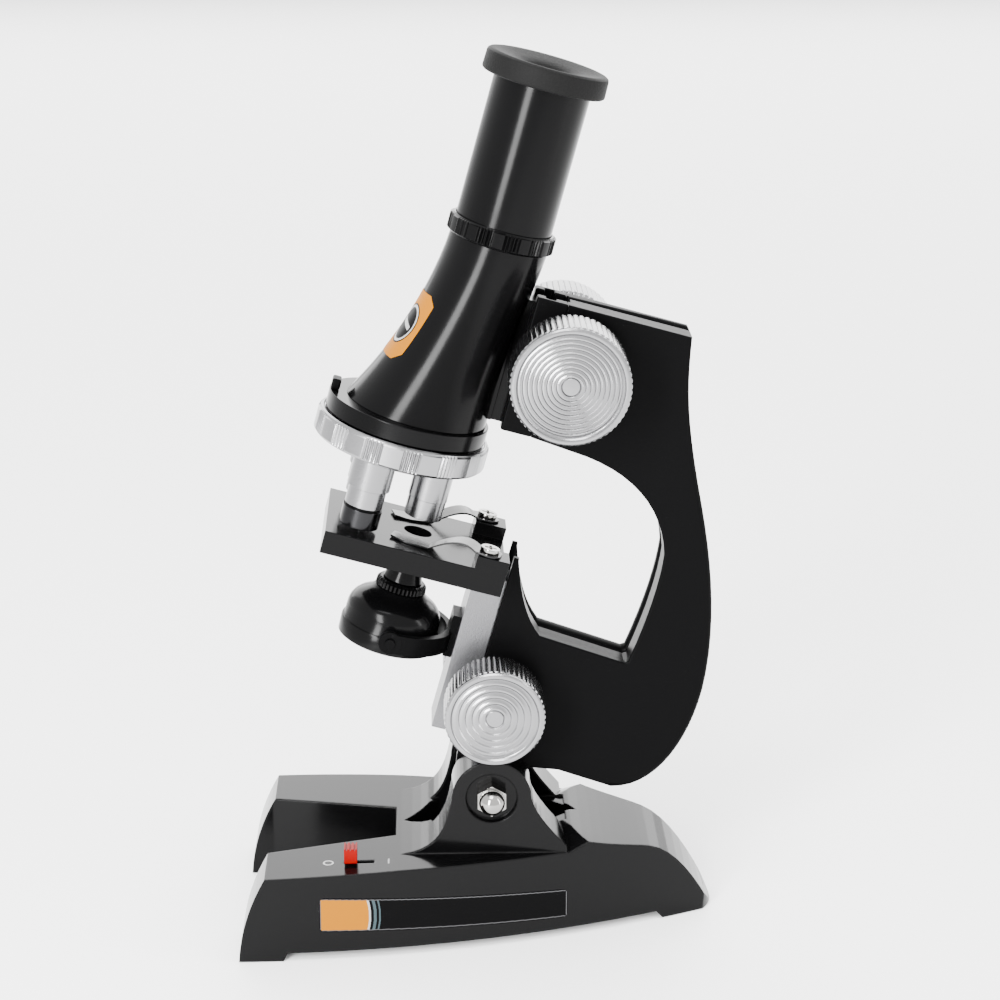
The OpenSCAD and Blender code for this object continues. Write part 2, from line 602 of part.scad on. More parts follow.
// Spring clip: a strip that arches from the screw down to the stage, with a lifted toe
clip_t = 0.5;
function clip_line() = concat(
    [[3, block_h + 0.1], [-3, block_h + 0.1]],
    curve([-3, block_h + 0.1], [-6, block_h + 1.8], [-9, block_h + 1.2], [-14.5, 0.15], 8),
    curve([-14.5, 0.15], [-16.5, 0.05], [-19, 0.05], [-21.5, 0.05], 3),
    [[-21.5, 0.05], [-24.3, 0.3]]);
module clip() {
    low = clip_line();
    high = [for (i = [len(low) - 1 : -1 : 0]) low[i] + [0, clip_t]];
    difference() {
        intersection() {
            along_x(-4, 4) polygon(concat(low, high));
            linear_extrude(20) polygon(concat(
                arc(0, 0, 3.4, -20, 200, 12),
                [[-2.4, -14], [-3, -20], [-1.8, -25], [1.8, -25], [3, -20], [2.4, -14]]));
        }
        cylinder(r = 1.2 + run, h = 20);
    }
}
clip_turn = 14;
module stage_clip_right() color([0.15, 0.15, 0.16]) arm_frame()
    translate([clip_x, clip_u, stage_w]) rotate([0, 0, -clip_turn]) clip();
module stage_clip_left() color([0.15, 0.15, 0.16]) arm_frame()
    translate([-clip_x, clip_u, stage_w]) rotate([0, 0, clip_turn]) clip();

// ---------------------------------------------------------------- lamp
fork_in = 13.9;
fork_out = 15.6;
pin_r = 1.2;
module lamp_fork() color([0.05, 0.05, 0.05]) arm_frame() difference() {
    union() {
        difference() {
            translate([0, lamp_u, lamp_w - 2.4]) cylinder(r = fork_out, h = 4.8);
            translate([0, lamp_u, lamp_w - 9]) cylinder(r = fork_in, h = 18);
            block(-30, 30, lamp_u - 30, lamp_u, 0, 60);
        }
        for (s = [-1, 1])
            rod_x(2.8, s * (fork_in + fork_out) / 2 - 0.75, s * (fork_in + fork_out) / 2 + 0.75, lamp_u, lamp_w);
        block(-4, 4, lamp_u + fork_in + 0.5, slide_front, lamp_w - 4, lamp_w + 7);
    }
    rod_x(pin_r + run, -30, 30, lamp_u, lamp_w);
    translate([0, lamp_u, lamp_w - 9]) cylinder(r = fork_in, h = 30);
}
module lamp_pins() color("silver") arm_frame() for (s = [-1, 1])
    rod_x(pin_r, s * 13.9 - 2.2, s * 13.9 + 2.2, lamp_u, lamp_w);
lamp_r = 12.5;
module lamp_housing() color([0.05, 0.05, 0.05]) arm_frame() translate([0, lamp_u, 0]) difference() {
    union() {
        translate([0, 0, lamp_w - 4.7]) cylinder(r = lamp_r, h = 4.4);
        translate([0, 0, lamp_w - 0.3]) cylinder(r = lamp_r - 0.4, h = 3.6);
        translate([0, 0, lamp_w + 3.3]) cylinder(r1 = lamp_r - 0.4, r2 = 9.6, h = 6.2);
    }
    translate([0, 0, lamp_w - 3]) cylinder(r = 10, h = 9);
    translate([0, 0, lamp_w - 5]) cylinder(r = 11, h = 2.01);
    translate([0, 0, lamp_w]) cylinder(r = 2.6, h = 20);
    for (s = [-1, 1]) rod_x(pin_r, s * 13.9 - 2.2, s * 13.9 + 2.2, 0, lamp_w);
}
module lamp_collar() color([0.05, 0.05, 0.05]) arm_frame() translate([0, lamp_u, lamp_w + 9.5]) difference() {
    cylinder(r = 6.4, h = 2.2);
    translate([0, 0, -1]) cylinder(r = 2.6, h = 9);
}
module lamp_nozzle() color([0.05, 0.05, 0.05]) arm_frame() translate([0, lamp_u, lamp_w + 11.7]) difference() {
    cylinder(r1 = 5, r2 = 3.4, h = 5.8);
    translate([0, 0, -1]) cylinder(r = 2.4, h = 9);
}
module led() color([0.9, 0.9, 0.8]) arm_frame() translate([0, lamp_u, lamp_w + 6]) {
    cylinder(r = 2.5, h = 4.5);
    translate([0, 0, 4.5]) intersection() {
        sphere(r = 2.5);
        cylinder(r = 2.6, h = 3);
    }
}
module lamp_mirror() color([0.85, 0.9, 0.95]) arm_frame()
    translate([0, lamp_u, lamp_w - 4.6]) cylinder(r = 11, h = 1.5);

base_shell();
bottom_plate();
battery_door();
battery_1();
battery_2();
battery_contacts();
base_screws();
switch_housing();
switch_slider();
pivot_bolt();
pivot_nut();
pivot_washers();
side_label();
arm_shell_right();
arm_shell_left();
arm_screws();
tube_guide();
focus_shaft();
focus_pinion();
focus_knob_right();
focus_knob_left();
body_tube();
tube_rack();
nosepiece_cover();
click_housing();
nosepiece_screw();
tube_label();
knurled_ring();
eyepiece_tube();
eyecup();
eye_lens();
field_lens();
lens_retainer();
nosepiece_disc();
objective_long();
objective_medium();
objective_short();
objective_lenses();
stage_shaft();
stage_pinion();
stage_knob_right();
stage_knob_left();
stage_plate();
stage_slide();
clip_screws();
stage_clip_right();
stage_clip_left();
lamp_fork();
lamp_pins();
lamp_housing();
lamp_collar();
lamp_nozzle();
led();
lamp_mirror();
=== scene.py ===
"""The looks of the toy microscope, built around its CAD frame.

Turned, softened and printed pieces stand for CAD nodes, and ride on the same bodies.
Every other CAD node stays shown as it is, and only takes a procedural finish.
"""

import json
import math

import bmesh
import bpy
from mathutils import Matrix, Vector


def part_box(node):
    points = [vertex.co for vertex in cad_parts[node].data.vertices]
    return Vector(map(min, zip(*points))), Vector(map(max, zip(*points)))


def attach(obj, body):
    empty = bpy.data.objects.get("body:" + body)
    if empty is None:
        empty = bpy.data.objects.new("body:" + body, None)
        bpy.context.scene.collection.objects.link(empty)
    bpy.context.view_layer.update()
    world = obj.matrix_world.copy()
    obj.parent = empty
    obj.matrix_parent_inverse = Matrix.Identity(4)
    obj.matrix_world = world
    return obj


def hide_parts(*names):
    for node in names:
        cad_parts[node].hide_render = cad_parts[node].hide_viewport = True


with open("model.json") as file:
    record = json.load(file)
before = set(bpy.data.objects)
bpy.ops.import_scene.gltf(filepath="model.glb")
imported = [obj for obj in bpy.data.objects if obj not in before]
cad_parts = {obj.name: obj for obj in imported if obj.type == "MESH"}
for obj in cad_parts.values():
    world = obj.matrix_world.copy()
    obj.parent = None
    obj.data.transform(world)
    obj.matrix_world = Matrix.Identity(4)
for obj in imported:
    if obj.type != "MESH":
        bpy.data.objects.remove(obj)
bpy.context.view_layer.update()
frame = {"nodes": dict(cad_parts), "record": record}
RECORD = frame["record"]
JOINTS = {j["name"]: j for j in RECORD["behaviour"]["joints"]}
BODY_OF = {n: b for b, nodes in RECORD["behaviour"]["bodies"].items() for n in nodes}
SLOT_OF = {s["node"]: s["material_slot"] for s in RECORD["subparts"]}
MM = 0.001
TAU = 2 * math.pi

# ------------------------------------------------------------------ frames
# The arm's own frame: x to the right, u back, w up the optical axis, from the tilt bolt
W_AXIS = Vector(JOINTS["tube_slide"]["axis"]).normalized()
U_AXIS = Vector((0, W_AXIS.z, -W_AXIS.y))
BOLT = Vector(JOINTS["arm_tilt"]["pos_m"])
ARM = Matrix((
    (1, 0, 0, BOLT.x),
    (0, U_AXIS.y, W_AXIS.y, BOLT.y),
    (0, U_AXIS.z, W_AXIS.z, BOLT.z),
    (0, 0, 0, 1),
))
ARM_INV = ARM.inverted()
TO_X = Matrix(((0, 0, 1, 0), (1, 0, 0, 0), (0, 1, 0, 0), (0, 0, 0, 1)))  # turns Z onto X


def local_points(node):
    """The CAD node's own points in the arm's frame, in mm."""
    return [ARM_INV @ v.co / MM for v in frame["nodes"][node].data.vertices]


def local_box(node):
    """Lowest and highest corner of a CAD node in the arm's frame, in mm."""
    points = local_points(node)
    return [Vector([pick(p[i] for p in points) for i in range(3)]) for pick in (min, max)]


def seat(node, axis_node=None, top=False):
    """Where a turned piece stands, its radius and its height. axis_node lends its axis."""
    low, high = local_box(node)
    axis_low, axis_high = local_box(axis_node or node)
    middle = (axis_low + axis_high) / 2
    foot = high.z if top else low.z
    place = ARM @ Matrix.Translation((0, middle.y * MM, foot * MM))
    return place, (high.x - low.x) / 2, high.z - low.z


# --------------------------------------------------------------- materials
NOISE_DETAIL = 3.0
BUMP_HEIGHT = 0.0002  # metres
LEAST_ROUGHNESS = 0.02
BEVEL_SAMPLES = 4
MIX_FACTOR, MIX_A, MIX_B, MIX_RESULT = 0, 6, 7, 2  # colour sockets of the Mix node


def material(name, color, rough, metal=0.0, grain=600.0, bump=0.02, vary=0.05, level=0.5,
             stretch=(1, 1, 1), tint=0.0, edge=0.0, clear=0.0):
    """A procedural finish: fine noise moves the roughness, the colour a little, and the surface."""
    mat = bpy.data.materials.new(name)
    mat.use_nodes = True
    nodes, links = mat.node_tree.nodes, mat.node_tree.links
    shader = nodes["Principled BSDF"]
    shader.inputs["Metallic"].default_value = metal
    shader.inputs["Specular IOR Level"].default_value = level
    if clear:
        shader.inputs["Transmission Weight"].default_value = clear
    place = nodes.new("ShaderNodeTexCoord")
    scale = nodes.new("ShaderNodeMapping")
    scale.inputs["Scale"].default_value = stretch
    links.new(place.outputs["Object"], scale.inputs["Vector"])
    noise = nodes.new("ShaderNodeTexNoise")
    noise.inputs["Scale"].default_value = grain
    noise.inputs["Detail"].default_value = NOISE_DETAIL
    links.new(scale.outputs["Vector"], noise.inputs["Vector"])
    rough_range = nodes.new("ShaderNodeMapRange")
    rough_range.inputs["To Min"].default_value = max(rough - vary, LEAST_ROUGHNESS)
    rough_range.inputs["To Max"].default_value = rough + vary
    links.new(noise.outputs["Fac"], rough_range.inputs["Value"])
    links.new(rough_range.outputs["Result"], shader.inputs["Roughness"])
    mix = nodes.new("ShaderNodeMix")
    mix.data_type = "RGBA"
    mix.inputs[MIX_A].default_value = (*[c * (1 - tint) for c in color], 1)
    mix.inputs[MIX_B].default_value = (*[min(c * (1 + tint), 1) for c in color], 1)
    links.new(noise.outputs["Fac"], mix.inputs[MIX_FACTOR])
    links.new(mix.outputs[MIX_RESULT], shader.inputs["Base Color"])
    lift = nodes.new("ShaderNodeBump")
    lift.inputs["Strength"].default_value = bump
    lift.inputs["Distance"].default_value = BUMP_HEIGHT
    links.new(noise.outputs["Fac"], lift.inputs["Height"])
    links.new(lift.outputs["Normal"], shader.inputs["Normal"])
    if edge:
        rounding = nodes.new("ShaderNodeBevel")
        rounding.samples = BEVEL_SAMPLES
        rounding.inputs["Radius"].default_value = edge * MM
        links.new(rounding.outputs["Normal"], lift.inputs["Normal"])
    return mat


DEEP_BLACK = (0.0012, 0.0012, 0.0013)

# name, colour, roughness and what else differs from the defaults of material()
FINISHES = {
    "gloss": ("gloss_black", DEEP_BLACK, 0.17,
              dict(grain=250, bump=0.015, vary=0.03, level=0.07)),
    "base": ("base_black", DEEP_BLACK, 0.17,
             dict(grain=250, bump=0.012, vary=0.03, level=0.10, edge=0.8)),
    "satin": ("satin_black", (0.0016, 0.0016, 0.0017), 0.32,
              dict(grain=900, bump=0.05, vary=0.05, level=0.02)),
    "rubber": ("grained_black", (0.004, 0.004, 0.004), 0.60,
               dict(grain=2200, bump=0.5, vary=0.08, level=0.06, tint=0.3)),
    "silver": ("silver_lacquer", (0.22, 0.22, 0.225), 0.22,
               dict(metal=1.0, grain=2600, bump=0.12, vary=0.08, tint=0.05)),
    "barrel": ("brushed_barrel", (0.20, 0.20, 0.205), 0.22,
               dict(metal=1.0, grain=500, bump=0.10, vary=0.08, stretch=(1, 1, 9))),
    "sparkle": ("sparkle_silver", (0.14, 0.14, 0.145), 0.34,
                dict(metal=0.9, grain=3200, bump=0.45, vary=0.12, tint=0.25)),
    "chrome": ("dark_chrome", (0.02, 0.02, 0.021), 0.16,
               dict(metal=1.0, grain=700, bump=0.03, vary=0.05)),
    "steel": ("polished_steel", (0.26, 0.255, 0.245), 0.10,
              dict(metal=1.0, grain=700, bump=0.03, vary=0.05)),
    "dark": ("blackened_steel", (0.002, 0.002, 0.0022), 0.22,
             dict(metal=0.15, grain=1200, bump=0.05, vary=0.06, level=0.25)),
    "white": ("white_plastic", (0.80, 0.80, 0.77), 0.35, dict(grain=900, bump=0.02)),
    "red": ("red_plastic", (0.16, 0.0006, 0.0004), 0.35, dict(grain=900, bump=0.02, level=0.05)),
    "orange": ("orange_film", (0.25, 0.088, 0.0), 0.45, dict(grain=1500, bump=0.02, level=0.04)),
    "print_white": ("white_ink", (0.22, 0.22, 0.22), 0.35, dict(grain=1500, bump=0.02)),
    "print_black": ("black_ink", DEEP_BLACK, 0.32, dict(grain=1500, bump=0.02, level=0.03)),
    "print_grey": ("grey_ink", (0.025, 0.025, 0.027), 0.35, dict(grain=1500, bump=0.02)),
    "print_teal": ("teal_ink", (0.004, 0.02, 0.026), 0.32, dict(grain=1500, bump=0.02)),
    "cell": ("cell_wrap", (0.75, 0.42, 0.12), 0.30, dict(metal=0.4, grain=600, bump=0.02)),
    "brass": ("contact_brass", (0.80, 0.65, 0.30), 0.22, dict(metal=1.0, grain=600, bump=0.03)),
    "glass": ("clear_lens", (0.9, 0.96, 1.0), 0.06,
              dict(grain=300, bump=0.0, vary=0.02, clear=0.95)),
    "mirror": ("mirror_face", (0.90, 0.90, 0.92), 0.04,
               dict(metal=1.0, grain=200, bump=0.0, vary=0.01)),
}
M = {key: material(name, color, rough, **rest)
     for key, (name, color, rough, rest) in FINISHES.items()}


# ---------------------------------------------------------- building pieces
ROUNDED_ANGLE = math.radians(32)  # edges sharper than this are rounded
CREASE_ANGLE = math.radians(30)  # edges of a turned piece sharper than this stay creased
FLAT_ANGLE = math.radians(0.6)  # CAD facets closer than this are one face
MERGE_DISTANCE = 0.02 * MM
RIB_ROUNDNESS = 0.6  # the power that shapes a scalloped rib


def stand_for(obj, node, mat=None):
    """Give a new piece its finish and body. It stands for its CAD node."""
    if mat:
        obj.data.materials.append(M[mat])
    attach(obj, BODY_OF[node])
    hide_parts(node)


def new_object(name, bm):
    mesh = bpy.data.meshes.new(name)
    bm.to_mesh(mesh)
    bm.free()
    for face in mesh.polygons:
        face.use_smooth = True
    obj = bpy.data.objects.new(name, mesh)
    bpy.context.scene.collection.objects.link(obj)
    return obj


def soften(obj, width, segments, weighted, clamp):
    """Round the edges by width mm: all the sharp ones, or each by its own weight."""
    bevel = obj.modifiers.new("bevel", "BEVEL")
    bevel.width = width * MM
    bevel.segments = segments
    bevel.limit_method = "WEIGHT" if weighted else "ANGLE"
    bevel.angle_limit = ROUNDED_ANGLE
    bevel.use_clamp_overlap = clamp
    bevel.miter_outer = "MITER_ARC"
    normals = obj.modifiers.new("normals", "WEIGHTED_NORMAL")
    normals.keep_sharp = True


def sharpen(obj):
    """Mark creases so that flat faces and round ones shade as they should."""
    mesh = obj.data
    bm = bmesh.new()
    bm.from_mesh(mesh)
    for edge in bm.edges:
        edge.smooth = len(edge.link_faces) == 2 and edge.calc_face_angle(0) < CREASE_ANGLE
    bm.to_mesh(mesh)
    bm.free()


def detailed(node, mat, width, weight=None, paint=None, segments=3, clamp=True):
    """A softened copy of a CAD node. weight(p, q) in 0..1 says how far an edge is rounded.

    paint is a list of finishes, and a function that picks one of them for a face.
    """
    bm = bmesh.new()
    bm.from_mesh(frame["nodes"][node].data)
    bmesh.ops.remove_doubles(bm, verts=bm.verts, dist=MERGE_DISTANCE)
    bmesh.ops.dissolve_limit(bm, angle_limit=FLAT_ANGLE, verts=bm.verts, edges=bm.edges)
    if weight:
        layer = bm.edges.layers.float.new("bevel_weight_edge")
        for edge in bm.edges:
            if len(edge.link_faces) == 2 and edge.calc_face_angle(0) > ROUNDED_ANGLE:
                edge[layer] = weight(*[v.co for v in edge.verts])
    keys, pick = paint or ((), None)
    if pick:
        for face in bm.faces:
            face.material_index = pick(face)
    obj = new_object(node + "_look", bm)
    for key in keys:
        obj.data.materials.append(M[key])
    soften(obj, width, segments, weight is not None, clamp)
    stand_for(obj, node, mat)


def lathe(name, place, rings, steps, wave=None, closed=True):
    """Turn (height, radius, depth of ribbing) rings in mm about the local Z of place."""
    bm = bmesh.new()
    rows = []
    for height, radius, depth in rings:
        row = []
        for k in range(steps):
            a = TAU * k / steps
            r = radius - (depth * wave(a) if wave and depth else 0)
            point = Vector((r * math.cos(a) * MM, r * math.sin(a) * MM, height * MM))
            row.append(bm.verts.new(place @ point))
        rows.append(row)
    for row, above in zip(rows, rows[1:]):
        for k in range(steps):
            n = (k + 1) % steps
            bm.faces.new((row[k], row[n], above[n], above[k]))
    if closed:
        bm.faces.new(rows[0][::-1])
        bm.faces.new(rows[-1])
    bmesh.ops.recalc_face_normals(bm, faces=bm.faces)
    obj = new_object(name, bm)
    sharpen(obj)
    return obj


def plain(rows):
    """Rings with no ribbing."""
    return [(height, radius, 0) for height, radius in rows]


def scallop(count):
    """Rounded ribs all the way round."""
    return lambda a: 1 - abs(math.sin(a * count / 2)) ** RIB_ROUNDNESS


def grouped(groups, ribs, share):
    """Groups of narrow ribs, each on its share of the turn, with plain pads between them."""
    def depth(a):
        t = (a / TAU * groups) % 1.0
        if t > share:
            return 0.0
        return 0.5 - 0.5 * math.cos(TAU * ribs * t / share)
    return depth


# ------------------------------------------------------------- turned parts
KNOBS = (  # node, side it faces, ribs on the rim, grooves on the face
    ("focus_knob_right", 1, 60, 9), ("focus_knob_left", -1, 60, 9),
    ("stage_knob_right", 1, 54, 5), ("stage_knob_left", -1, 54, 5),
)
KNOB_RIB = 0.5
KNOB_BORE = 3
KNOB_HUB = 2.2
KNOB_FACE_INSET = 2.1  # from the rim to the first groove
STEPS_PER_RIB = 6
# height above the back, inset from the rim, share of the rib's depth
KNOB_BACK = ((0, 1.2, 0), (0.7, 0.1, 0.8), (1.2, 0, 1))
# drop from the face, inset from the rim, share of the rib's depth
KNOB_RIM = (
    (2.2, 0, 1), (1.2, 0.1, 0.5), (1.0, 0.35, 0), (0.5, 0.4, 0),
    (0.1, 0.75, 0), (0, 1.15, 0), (0.1, 1.6, 0), (0.62, 1.95, 0),
)
# share of the groove's width, drop from the face
KNOB_GROOVE = ((0.0, 0.70), (0.3, 0.62), (0.55, 0.40), (0.8, 0.42), (0.95, 0.62))
# inset from the hub's edge, drop from the face
KNOB_CENTRE = ((0, 0.70), (0.2, 0.55), (KNOB_HUB - 0.2, 0.5))


def make_knob(node, side, ribs, grooves):
    """A turned knob: ribbed rim, raised outer rim, concentric grooves and a plain centre."""
    low, high = local_box(node)
    centre = (low + high) / 2
    radius = (high.y - low.y) / 2
    depth = high.x - low.x
    start = low.x if side > 0 else high.x
    turn = Matrix.Translation((start * MM, centre.y * MM, centre.z * MM)) @ TO_X
    if side < 0:
        turn = turn @ Matrix.Rotation(math.pi, 4, "X")
    rings = [(0, KNOB_BORE, 0)]
    rings += [(height, radius - inset, KNOB_RIB * share) for height, inset, share in KNOB_BACK]
    rings += [(depth - drop, radius - inset, KNOB_RIB * share) for drop, inset, share in KNOB_RIM]
    outer = radius - KNOB_FACE_INSET
    step = (outer - KNOB_HUB) / grooves
    for i in range(grooves):
        r = outer - i * step
        rings += [(depth - drop, r - part * step, 0) for part, drop in KNOB_GROOVE]
    rings += [(depth - drop, KNOB_HUB - inset, 0) for inset, drop in KNOB_CENTRE]
    obj = lathe(node + "_look", ARM @ turn, rings, ribs * STEPS_PER_RIB, wave=scallop(ribs))
    stand_for(obj, node, "silver")


RING_BORE = 11.9
RING_RIB = 0.55
RING_STEPS = 720


def make_ring():
    """The knurled ring between the two tubes."""
    place, r, h = seat("knurled_ring")
    rings = plain([(0, RING_BORE), (0, r - 0.8), (0.35, r - 0.45)])
    rings += [(0.5, r - 0.02, RING_RIB), (h - 0.5, r - 0.02, RING_RIB)]
    rings += plain([(h - 0.35, r - 0.45), (h, r - 0.8), (h, RING_BORE)])
    wave = grouped(groups=12, ribs=5, share=0.62)
    obj = lathe("knurled_ring_look", place, rings, RING_STEPS, wave=wave, closed=False)
    stand_for(obj, "knurled_ring", "gloss")


DISC_RIB = 0.5
DISC_BORE = 0.5
DISC_STEPS = 960


def make_disc():
    """The revolving disc that carries the objectives, dished on both faces."""
    place, r, h = seat("nosepiece_disc")
    rings = plain([
        (0.6, DISC_BORE), (0.6, 18.6), (0.1, 18.9), (0, 19.4),
        (0, r - 1.2), (0.25, r - 0.6), (0.6, r - 0.35),
    ])
    rings += [(0.9, r - 0.02, DISC_RIB), (h - 0.9, r - 0.02, DISC_RIB)]
    rings += plain([
        (h - 0.6, r - 0.35), (h - 0.25, r - 0.5), (h, r - 0.9),
        (h, 20.4), (h - 0.4, 20.1), (h - 0.4, DISC_BORE),
    ])
    wave = grouped(groups=14, ribs=5, share=0.50)
    obj = lathe("nosepiece_disc_look", place, rings, DISC_STEPS, wave=wave)
    stand_for(obj, "nosepiece_disc", "silver")


ROUND_STEPS = 128  # of the large plain turned pieces


def make_eyecup():
    """A grained cup with a dished top. Its heights count from the top."""
    place, r, _ = seat("eyecup", top=True)
    rim = [(-5.3, 11.6), (-5.3, r - 0.5), (-5.0, r - 0.1), (-4.7, r), (-1.0, r - 0.12)]
    lip = [(-0.5, r - 0.3), (-0.15, r - 0.8), (0, r - 1.4)]
    dish = [(-0.25, 12.4), (-0.9, 9.0), (-1.6, 6.4), (-2.4, 5.4), (-5.6, 5.1), (-9, 5.1)]
    obj = lathe("eyecup_look", place, plain(rim + lip + dish), ROUND_STEPS, closed=False)
    stand_for(obj, "eyecup", "rubber")


COLLAR_RIBS = 36
COLLAR_BORE = 2.7


def make_lamp():
    """The lamp's round housing, and the ribbed collar on the same axis."""
    place, r, _ = seat("lamp_housing")
    rim = [(0.2, r - 1.2), (0, r - 0.6), (0.3, r - 0.1), (4.0, r), (4.35, r - 0.15),
           (4.4, r - 0.45)]
    dome = [(4.6, r - 0.55), (7.8, r - 0.6), (9.2, r - 0.9), (10.4, r - 1.6), (11.3, r - 2.5),
            (11.9, r - 3.4)]
    top = [(12.6, r - 4.6), (13.2, r - 5.4), (13.7, 6.7), (14.1, 6.4), (14.2, 6.1), (14.2, 2.7)]
    obj = lathe("lamp_housing_look", place, plain(rim + dome + top), ROUND_STEPS, closed=False)
    stand_for(obj, "lamp_housing", "gloss")

    place, r, _ = seat("lamp_collar", axis_node="lamp_housing")
    rings = [(0, COLLAR_BORE, 0), (0, r - 0.5, 0), (0.2, r, 0.7), (1.6, r - 0.1, 0.7),
             (2.2, r - 0.8, 0.2), (2.2, COLLAR_BORE, 0)]
    wave = scallop(COLLAR_RIBS)
    steps = COLLAR_RIBS * STEPS_PER_RIB
    obj = lathe("lamp_collar_look", place, rings, steps, wave=wave, closed=False)
    stand_for(obj, "lamp_collar", "gloss")


# ----------------------------------------------------------- softened parts
ARM_SIDE = (6.9, 7.1)  # mm from the seam: the edges of the arm's side faces
ARM_SEAM = 0.2  # edges this close to the seam stay sharp
ARM_REAR = 26.8  # the rear edge lies further back than this
ARM_FRONT = 4  # the edges of the head and foot lie further forward than this
WINDOW_CORNER = Vector((6, 24))  # the narrow front corner of the window
WINDOW_CORNER_REACH = 4
REAR_WEIGHT, SIDE_WEIGHT, FRONT_WEIGHT = 1.0, 0.35, 0.15


def arm_round(p, q):
    """The rear edge is well rounded, the window's less and the front hardly. The seam is not."""
    a, b = ARM_INV @ p / MM, ARM_INV @ q / MM
    near, far = min(abs(a.x), abs(b.x)), max(abs(a.x), abs(b.x))
    if far < ARM_SEAM or near < ARM_SIDE[0] or far > ARM_SIDE[1]:
        return 0.0
    u, w = (a.y + b.y) / 2, (a.z + b.z) / 2
    if (Vector((u, w)) - WINDOW_CORNER).length < WINDOW_CORNER_REACH or u < ARM_FRONT:
        return FRONT_WEIGHT
    return REAR_WEIGHT if u > ARM_REAR else SIDE_WEIGHT


def make_arm():
    for node in ("arm_shell_right", "arm_shell_left"):
        detailed(node, "satin", 1.5, weight=arm_round, segments=4, clamp=False)
    detailed("tube_guide", "satin", 0.5)


BARREL_ABOVE = 62.95  # mm up the arm's frame, with a printed band under it
BAND_ABOVE = 62.25


def make_objectives():
    """The long objective has a silver barrel, a black band and a dark tip."""
    def long_paint(face):
        w = (ARM_INV @ face.calc_center_median() / MM).z
        return 0 if w > BARREL_ABOVE else (1 if w > BAND_ABOVE else 2)
    paint = (("barrel", "print_black", "chrome"), long_paint)
    detailed("objective_long", None, 0.25, paint=paint)
    detailed("objective_medium", "barrel", 0.25)
    detailed("objective_short", "barrel", 0.3)


DETAILED = (  # node, finish, how far its edges are rounded in mm
    ("body_tube", "gloss", 0.5), ("eyepiece_tube", "gloss", 0.3),
    ("nosepiece_cover", "gloss", 0.8), ("click_housing", "satin", 0.5),
    ("stage_plate", "gloss", 0.45), ("lamp_nozzle", "gloss", 0.4),
    ("lamp_fork", "satin", 0.5), ("stage_slide", "sparkle", 0.35),
    ("switch_slider", "red", 0.25), ("pivot_nut", "steel", 0.3),
    ("pivot_bolt", "steel", 0.3), ("stage_clip_right", "dark", 0.12),
    ("stage_clip_left", "dark", 0.12), ("clip_screws", "steel", 0.15),
    ("tube_rack", "gloss", 0.1),
)


# ------------------------------------------------------------ printed labels
FILM_LIFT = 0.10  # mm from the CAD surface to the printed film


def film(node, grid, surface, pick, keep, keys):
    """A thin printed label: grid cells on a surface, coloured cell by cell."""
    (a0, a1, na), (b0, b1, nb) = grid
    bm = bmesh.new()
    rows = [[bm.verts.new(surface(a0 + (a1 - a0) * i / na, b0 + (b1 - b0) * j / nb))
             for j in range(nb + 1)] for i in range(na + 1)]
    for i in range(na):
        for j in range(nb):
            a = a0 + (a1 - a0) * (i + 0.5) / na
            b = b0 + (b1 - b0) * (j + 0.5) / nb
            if keep(a, b):
                corners = (rows[i][j], rows[i + 1][j], rows[i + 1][j + 1], rows[i][j + 1])
                bm.faces.new(corners).material_index = pick(a, b)
    loose = [v for v in bm.verts if not v.link_faces]
    bmesh.ops.delete(bm, geom=loose, context="VERTS")
    obj = new_object(node + "_look", bm)
    for key in keys:
        obj.data.materials.append(M[key])
    stand_for(obj, node)


SIDE_RADIUS = 275.0  # mm, radius of the base's bowed sides, as in the CAD model
SIDE_LEAN = 1.5 / 21.4  # how far the sides lean in per mm of height
SIDE_MID = -58.0  # where along Y the sides are furthest apart
SIDE_TOP = (16.2, 12.4)  # height of the label's upper edge at its two ends
SIDE_BOTTOM = (7.4, 5.0)
SIDE_CORNER = 1.4
SIDE_GRID_Z = (4.0, 17.0, 130)
SIDE_GRID_Y = 620  # cells along the base
SIDE_BORDER = ((0.22, 0), (0.42, 3))  # inset from the edge, index of the colour
# distance from the front end, index of the colour up to there
SIDE_BANDS = ((12.2, 1), (12.7, 2), (13.4, 0), (14.1, 4), (14.7, 0), (15.1, 4))
SIDE_BOW = 0.035  # the bands bow by this much per square mm
SIDE_BOW_MID = 11
SIDE_INKS = ("print_black", "orange", "print_white", "print_grey", "print_teal")


def make_side_label():
    """Orange block with arcs, then a dark band with a thin light outline."""
    low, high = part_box("side_label")
    y0, y1 = low[1] / MM, high[1] / MM
    base_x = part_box("base_shell")[1][0] / MM - SIDE_RADIUS

    def surface(y, z):
        r = SIDE_RADIUS - SIDE_LEAN * z + FILM_LIFT
        return Vector((base_x + math.sqrt(r * r - (y - SIDE_MID) ** 2), y, z)) * MM

    def between(ends, y):
        return ends[0] + (ends[1] - ends[0]) * (y - y0) / (y1 - y0)

    def insets(y, z):
        """How far in from the label's ends, and from its long edges."""
        edges = min(z - between(SIDE_BOTTOM, y), between(SIDE_TOP, y) - z)
        return min(y - y0, y1 - y), edges

    def keep(y, z):
        ends, edges = insets(y, z)
        if min(ends, edges) < 0.0:
            return False
        in_corner = ends < SIDE_CORNER and edges < SIDE_CORNER
        reach = (SIDE_CORNER - ends) ** 2 + (SIDE_CORNER - edges) ** 2
        return not (in_corner and reach > SIDE_CORNER ** 2)

    def pick(y, z):
        inset = min(insets(y, z))
        for limit, index in SIDE_BORDER:
            if inset < limit:
                return index
        bow = y - y0 + SIDE_BOW * (z - SIDE_BOW_MID) ** 2
        for limit, index in SIDE_BANDS:
            if bow < limit:
                return index
        return 0

    film("side_label", ((y0, y1, SIDE_GRID_Y), SIDE_GRID_Z), surface, pick, keep, SIDE_INKS)


